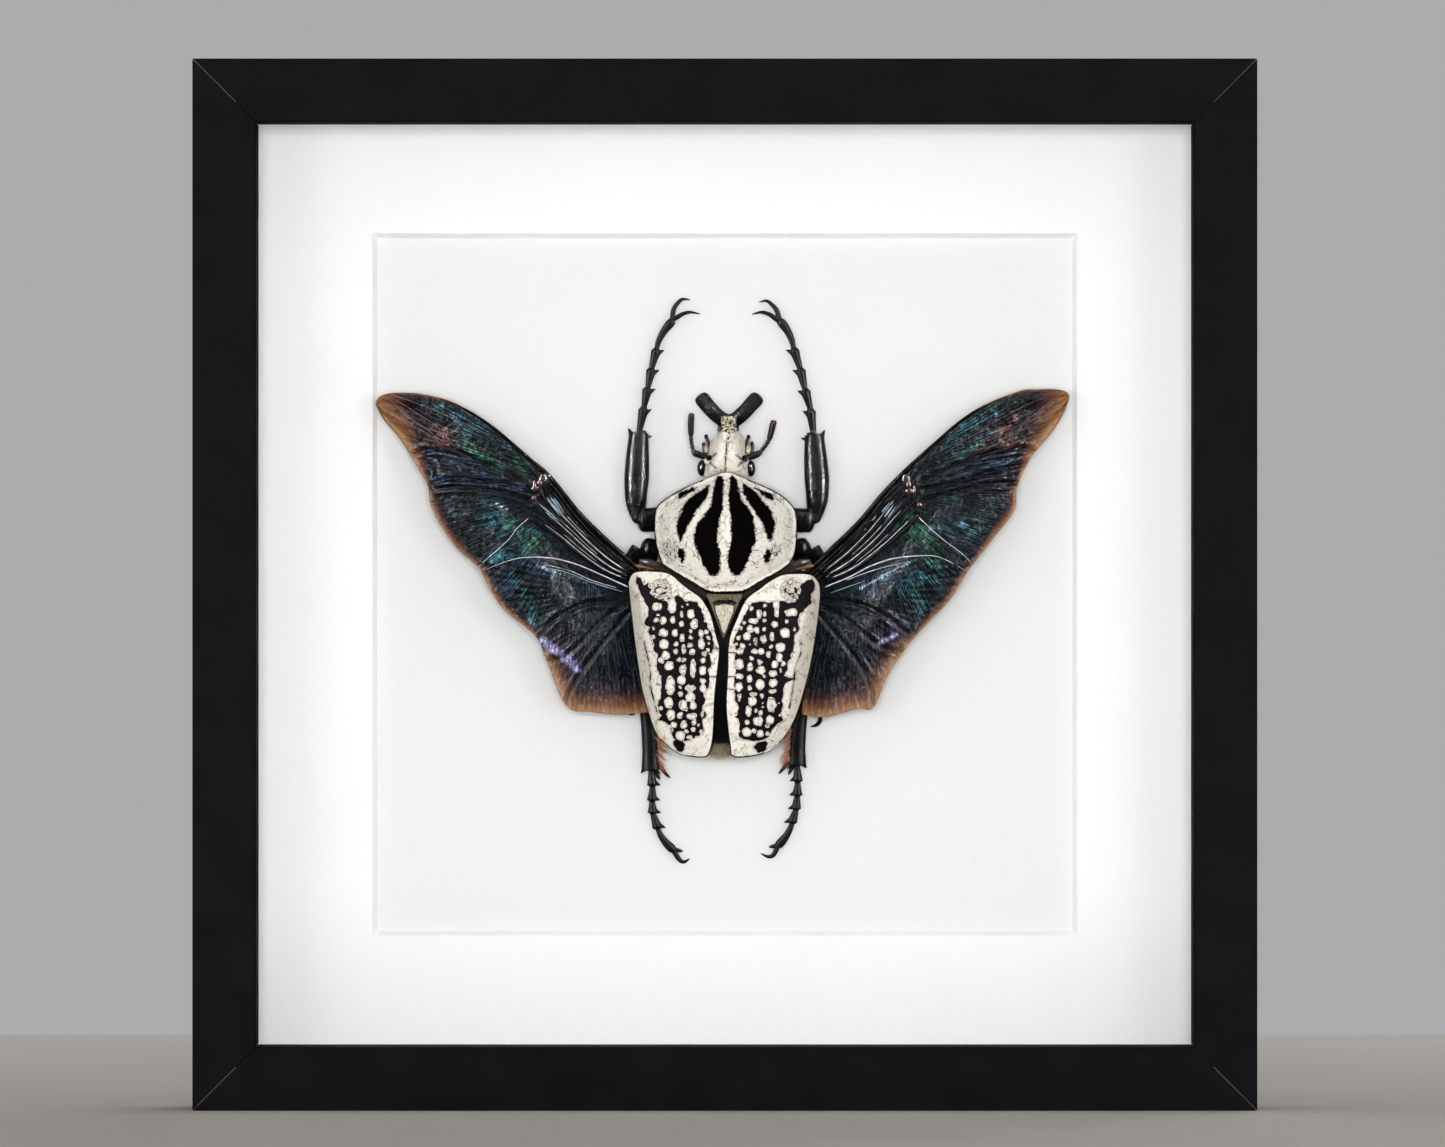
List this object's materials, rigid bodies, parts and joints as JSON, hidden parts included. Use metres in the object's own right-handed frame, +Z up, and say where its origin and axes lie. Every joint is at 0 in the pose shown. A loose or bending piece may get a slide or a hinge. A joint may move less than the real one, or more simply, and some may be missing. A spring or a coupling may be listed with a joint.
{
  "type": "framed goliath beetle",
  "caption": "Spread dry goliath beetle with striped pronotum, dotted wing cases and dark flight wings, in a black glazed shadow box with a white window mat.",
  "frame": {"origin": "middle of the bottom of the frame, in X and Y, at the surface it stands on", "axes": "+X to the right seen from the front, -Y is the way the glass faces, +Z up"},
  "size_m": [0.25, 0.045, 0.247],
  "materials": {
    "frame": "satin black lacquer on wood",
    "glass": "clear flat glass",
    "spacer": "matt black board",
    "mat": "matt white mat board",
    "board": "matt white paper-faced board",
    "panel": "brown hardboard",
    "fittings": "zinc plated",
    "body_cuticle": "black cuticle",
    "pale_cuticle": "off-white cuticle with black markings",
    "scutellum_cuticle": "olive cuticle",
    "wing_membrane": "iridescent dark wing membrane",
    "leg_cuticle": "glossy black cuticle"
  },
  "bodies": {
    "root": {"frame_rail_top": "frame", "frame_rail_bottom": "frame", "frame_rail_left": "frame", "frame_rail_right": "frame", "glass_pane": "glass", "spacer_top": "spacer", "spacer_bottom": "spacer", "spacer_left": "spacer", "spacer_right": "spacer", "mat_board": "mat", "backing_board": "board", "back_panel": "panel", "tab_1": "fittings", "tab_2": "fittings", "tab_3": "fittings", "tab_4": "fittings", "tab_5": "fittings", "tab_6": "fittings", "tab_7": "fittings", "tab_8": "fittings", "hanger_plate": "fittings", "beetle_body": "body_cuticle", "beetle_head": "pale_cuticle", "beetle_pronotum": "pale_cuticle", "beetle_scutellum": "scutellum_cuticle", "elytron_left": "pale_cuticle", "elytron_right": "pale_cuticle", "hindwing_left": "wing_membrane", "hindwing_right": "wing_membrane", "antenna_left": "leg_cuticle", "antenna_right": "leg_cuticle", "front_leg_left": "leg_cuticle", "front_leg_right": "leg_cuticle", "middle_leg_left": "leg_cuticle", "middle_leg_right": "leg_cuticle", "hind_leg_left": "leg_cuticle", "hind_leg_right": "leg_cuticle"}
  },
  "joints": []
}
